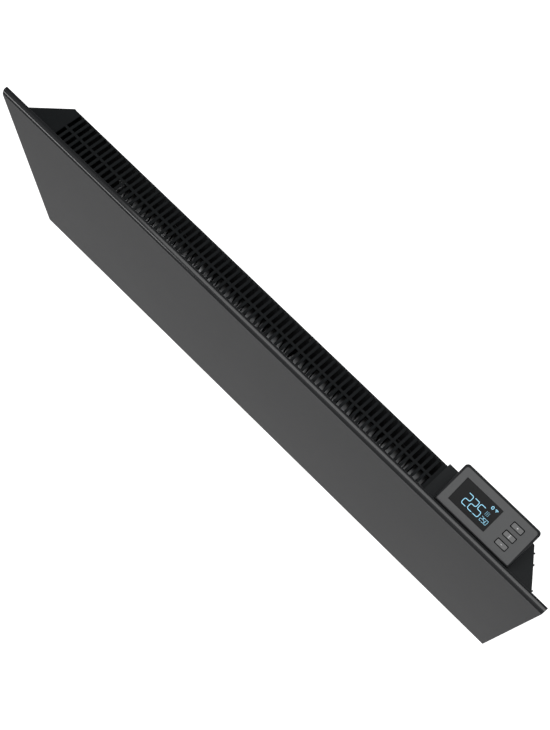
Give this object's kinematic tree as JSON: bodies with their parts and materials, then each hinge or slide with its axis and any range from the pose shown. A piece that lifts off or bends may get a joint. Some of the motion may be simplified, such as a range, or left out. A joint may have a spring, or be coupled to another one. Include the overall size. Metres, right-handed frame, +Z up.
{
  "type": "wall panel convector heater",
  "caption": "Low, long wall convector heater: folded steel front panel, slotted casing with slanted ends, finned element, and a tilted thermostat pod with display and push buttons.",
  "frame": {"origin": "on the wall plane, at the centre of the wall rail's four screw slots", "axes": "+X runs along the heater to the right as the user faces it, +Y points into the wall, +Z is up"},
  "size_m": [1, 0.086, 0.2725],
  "materials": {
    "panel_paint": "fine-textured satin powder coat, dark grey",
    "casing_paint": "satin black powder coat",
    "back_steel": "satin black powder coat",
    "zinc_steel": "zinc-plated sheet steel",
    "screw_steel": "zinc-plated",
    "fin_aluminium": "plain cast aluminium",
    "sheath_steel": "heat-tinted stainless steel",
    "ceramic": "unglazed steatite ceramic",
    "base_plastic": "fine-textured black plastic",
    "board_green": "solder-masked laminate",
    "relay_blue": "moulded case",
    "transformer_yellow": "taped winding and core",
    "capacitor_orange": "moulded case",
    "block_white": "moulded nylon",
    "gland_nylon": "moulded black nylon",
    "plate_grey": "satin dark grey plate",
    "window_black": "smoked glossy window",
    "module_grey": "display glass and frame",
    "button_grey": "satin dark grey keys"
  },
  "bodies": {
    "rail": {"wall_rail": "back_steel"},
    "heater": {"front_panel": "panel_paint", "panel_clips": "zinc_steel", "top_grille": "casing_paint", "intake_grille": "casing_paint", "back_plate": "back_steel", "end_wall": "casing_paint", "partition": "zinc_steel", "casing_screws": "screw_steel", "heating_element": "fin_aluminium", "element_core": "sheath_steel", "bush_left": "ceramic", "bush_right": "ceramic", "bracket_left": "zinc_steel", "bracket_right": "zinc_steel", "thermal_cutout": "sheath_steel", "control_base": "base_plastic", "power_board": "board_green", "relay": "relay_blue", "transformer": "transformer_yellow", "filter_capacitor": "capacitor_orange", "terminal_block": "block_white", "board_screws": "screw_steel", "cable_gland": "gland_nylon", "gland_nut": "gland_nylon", "room_sensor": "gland_nylon", "pod_housing": "base_plastic", "pod_screws": "screw_steel", "face_plate": "plate_grey", "display_window": "window_black", "display_module": "module_grey", "circuit_board": "board_green", "tact_switches": "gland_nylon", "spacer_left": "gland_nylon", "spacer_right": "gland_nylon"},
    "plus_key": {"button_plus": "button_grey"},
    "menu_key": {"button_menu": "button_grey"},
    "minus_key": {"button_minus": "button_grey"}
  },
  "joints": [
    {"name": "lift_off", "type": "slide", "parent": "rail", "child": "heater", "axis": [0, 0, 1], "range_m": [0, 0.009]},
    {"name": "press_plus", "type": "slide", "parent": "heater", "child": "plus_key", "axis": [0, 0.5299, -0.848], "range_m": [0, 0.0006], "stiffness_N_per_m": 600, "springref_m": -0.0005},
    {"name": "press_menu", "type": "slide", "parent": "heater", "child": "menu_key", "axis": [0, 0.5299, -0.848], "range_m": [0, 0.0006], "stiffness_N_per_m": 600, "springref_m": -0.0005},
    {"name": "press_minus", "type": "slide", "parent": "heater", "child": "minus_key", "axis": [0, 0.5299, -0.848], "range_m": [0, 0.0006], "stiffness_N_per_m": 600, "springref_m": -0.0005}
  ]
}
